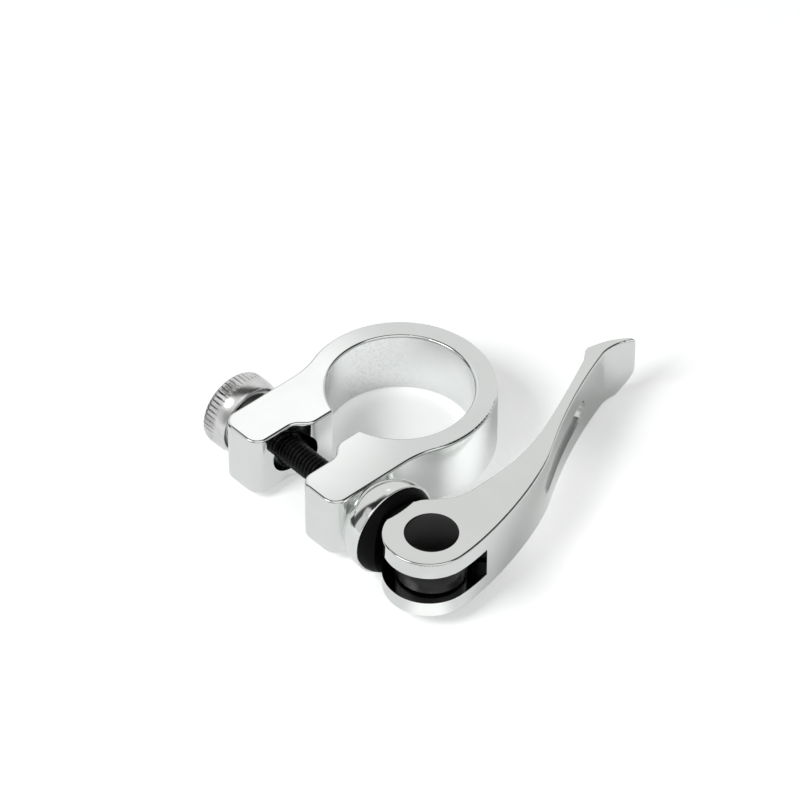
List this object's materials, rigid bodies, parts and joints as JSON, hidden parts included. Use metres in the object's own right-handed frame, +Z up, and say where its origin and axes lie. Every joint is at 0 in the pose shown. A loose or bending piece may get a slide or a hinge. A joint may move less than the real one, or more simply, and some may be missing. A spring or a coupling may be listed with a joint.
{
  "type": "quick-release seatpost clamp",
  "caption": "Split collar that clamps a bicycle seatpost: an eye bolt with a knurled thumb nut crosses its ears, and a forked cam lever on a cupped seat tightens it by hand.",
  "frame": {"origin": "on the bore axis, at the collar's middle height", "axes": "+Z up the bore; the slot and ears point to -Y; +X along the bolt, towards the lever"},
  "size_m": [0.0723, 0.0829, 0.021],
  "materials": {
    "collar_polish": "mirror polished",
    "lever_polish": "mirror polished",
    "cup_polish": "mirror polished",
    "nut_satin": "satin, straight knurl",
    "bolt_black": "black oxide",
    "pin_black": "black oxide, satin ends",
    "seat_black": "matte"
  },
  "bodies": {
    "collar": {"collar": "collar_polish"},
    "nut": {"thumb_nut": "nut_satin"},
    "cup": {"cup_washer": "cup_polish", "cam_seat": "seat_black"},
    "bolt": {"eye_bolt": "bolt_black"},
    "lever": {"lever": "lever_polish", "pivot_pin": "pin_black"}
  },
  "joints": [
    {"name": "nut_turn", "type": "hinge", "parent": "collar", "child": "nut", "pos_m": [-0.0179, -0.025, 0], "axis": [-1, 0, 0], "range_deg": [0, 1440]},
    {"name": "bolt_swivel", "type": "hinge", "parent": "collar", "child": "cup", "pos_m": [0.0179, -0.025, 0], "axis": [1, 0, 0], "continuous": true},
    {"name": "bolt_draw", "type": "slide", "parent": "cup", "child": "bolt", "axis": [1, 0, 0], "range_m": [0, 0.004]},
    {"name": "lever_swing", "type": "hinge", "parent": "bolt", "child": "lever", "pos_m": [0.037, -0.025, 0], "axis": [0, 0, -1], "range_deg": [0, 165]}
  ],
  "couplings": [
    {"joint": "nut_turn", "follows": "bolt_draw", "rad_per_m": 6283.2}
  ]
}
